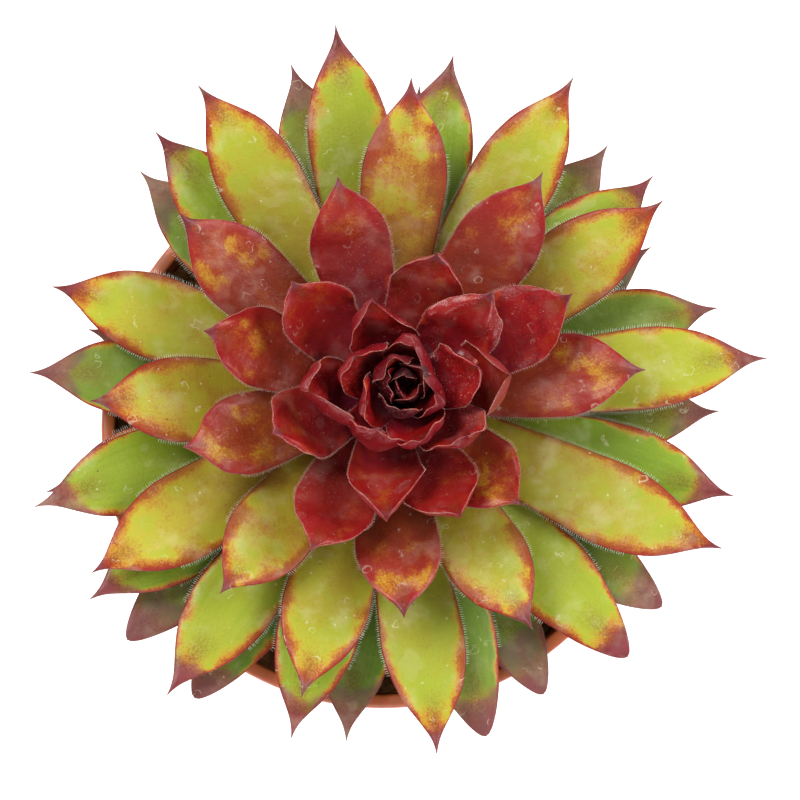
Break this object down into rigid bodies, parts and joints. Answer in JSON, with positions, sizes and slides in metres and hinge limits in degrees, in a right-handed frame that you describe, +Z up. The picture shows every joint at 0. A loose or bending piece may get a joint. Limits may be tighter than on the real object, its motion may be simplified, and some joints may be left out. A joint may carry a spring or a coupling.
{
  "type": "potted houseleek rosette",
  "caption": "Open rosette of thick pointed leaves, dark red at the heart and yellow-green outside, growing in a round tapered nursery pot filled with soil.",
  "frame": {"origin": "centre of the pot's flat base, on the surface that it stands on", "axes": "+Z up, out of the pot. The pot is round about Z. +X and +Y are the picture's right and top, seen from above"},
  "size_m": [0.1365, 0.1353, 0.13],
  "materials": {
    "pot": "satin moulded",
    "soil": "matte crumbly",
    "heart_leaf": "waxy, moist",
    "red_leaf": "waxy, moist",
    "bronze_leaf": "waxy satin",
    "green_leaf": "waxy satin",
    "old_leaf": "dull waxy"
  },
  "bodies": {
    "root": {"pot": "pot", "soil": "soil", "heart_leaves": "heart_leaf", "red_leaves": "red_leaf", "bronze_leaves": "bronze_leaf", "green_leaves": "green_leaf", "old_leaves": "old_leaf"}
  },
  "joints": []
}
